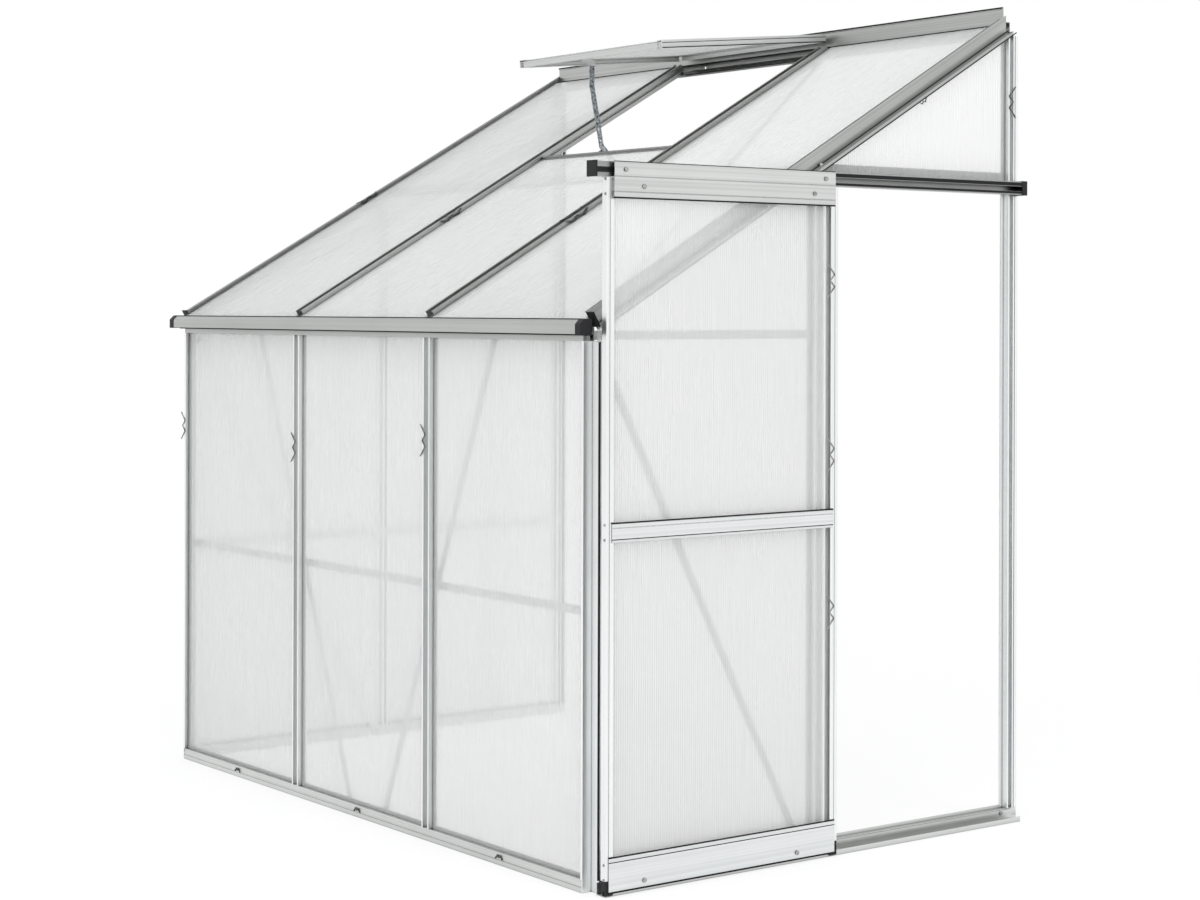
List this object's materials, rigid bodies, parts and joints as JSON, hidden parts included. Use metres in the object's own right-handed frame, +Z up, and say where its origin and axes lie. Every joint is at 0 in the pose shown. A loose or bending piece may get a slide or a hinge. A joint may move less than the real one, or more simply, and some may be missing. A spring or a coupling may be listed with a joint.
{
  "type": "lean-to greenhouse",
  "caption": "Small lean-to greenhouse with an aluminium frame, translucent panes, a sliding gable door on rollers and a hinged roof vent on a stay.",
  "frame": {"origin": "middle of the front sill's foot, on the ground", "axes": "+X along the ridge towards the door gable, +Y towards the wall, +Z up"},
  "size_m": [1.982, 1.3425, 2.0082],
  "materials": {
    "mill_aluminium": "mill-finish extrusion, satin",
    "glazing": "fluted translucent sheet",
    "black_plastic": "moulded, fine grain",
    "steel": "plated wire and screws"
  },
  "bodies": {
    "frame": {"bottom_door_track": "mill_aluminium", "door_mid_post": "mill_aluminium", "doorway_pane": "glazing", "eave_beam": "mill_aluminium", "far_corner_post": "mill_aluminium", "far_gable_mid_rail": "mill_aluminium", "far_gable_panes": "glazing", "far_gable_rafter": "mill_aluminium", "far_gable_sill": "mill_aluminium", "far_gable_stud": "mill_aluminium", "far_wall_post": "mill_aluminium", "frame_bolts": "steel", "frame_clips": "steel", "front_brace_far": "mill_aluminium", "front_brace_near": "mill_aluminium", "front_mid_rail": "mill_aluminium", "front_pane_1": "glazing", "front_pane_2": "glazing", "front_pane_3": "glazing", "front_sill": "mill_aluminium", "front_stud_1": "mill_aluminium", "front_stud_2": "mill_aluminium", "gable_brace_far": "mill_aluminium", "gable_brace_near": "mill_aluminium", "gable_eave_rails": "mill_aluminium", "gutter_caps": "black_plastic", "near_corner_post": "mill_aluminium", "near_gable_pane": "glazing", "near_gable_rafter": "mill_aluminium", "near_gable_sill": "mill_aluminium", "near_wall_post": "mill_aluminium", "ridge_beam": "mill_aluminium", "roof_bar_1": "mill_aluminium", "roof_bar_2": "mill_aluminium", "roof_brace_far": "mill_aluminium", "roof_brace_near": "mill_aluminium", "roof_pane_1": "glazing", "roof_pane_2": "glazing", "roof_pane_3": "glazing", "roof_purlin": "mill_aluminium", "stay_bracket": "mill_aluminium", "top_door_track": "mill_aluminium", "track_stops": "black_plastic", "vent_sill": "mill_aluminium"},
    "door": {"door_bottom_rail": "mill_aluminium", "door_fasteners": "steel", "door_guides": "black_plastic", "door_mid_rail": "mill_aluminium", "door_pane_lower": "glazing", "door_pane_upper": "glazing", "door_stile_front": "mill_aluminium", "door_stile_wall": "mill_aluminium", "door_top_rail": "mill_aluminium"},
    "wheel_front": {"door_wheel_front": "black_plastic"},
    "wheel_wall": {"door_wheel_wall": "black_plastic"},
    "vent": {"vent_edge_bar": "mill_aluminium", "vent_hinge_bar": "mill_aluminium", "vent_pane": "glazing", "vent_side_bars": "mill_aluminium"},
    "stay": {"stay_arm": "mill_aluminium"}
  },
  "joints": [
    {"name": "door_slide", "type": "slide", "parent": "frame", "child": "door", "axis": [0, 1, 0], "range_m": [0, 0.615]},
    {"name": "wheel_front_spin", "type": "hinge", "parent": "door", "child": "wheel_front", "pos_m": [0.983, 0.0155, 1.556], "axis": [1, 0, 0], "continuous": true},
    {"name": "wheel_wall_spin", "type": "hinge", "parent": "door", "child": "wheel_wall", "pos_m": [0.983, 0.5915, 1.556], "axis": [1, 0, 0], "continuous": true},
    {"name": "vent_hinge", "type": "hinge", "parent": "frame", "child": "vent", "pos_m": [0, 1.228, 1.98693], "axis": [1, 0, 0], "range_deg": [0, 24.2]},
    {"name": "stay_pivot", "type": "hinge", "parent": "vent", "child": "stay", "pos_m": [-0.044, 0.70451, 1.91492], "axis": [1, 0, 0], "range_deg": [0, 12.6]}
  ],
  "couplings": [
    {"joint": "wheel_front_spin", "follows": "door_slide", "rad_per_m": -78.74},
    {"joint": "wheel_wall_spin", "follows": "door_slide", "rad_per_m": -78.74},
    {"joint": "stay_pivot", "follows": "vent_hinge", "ratio": 0.5}
  ]
}
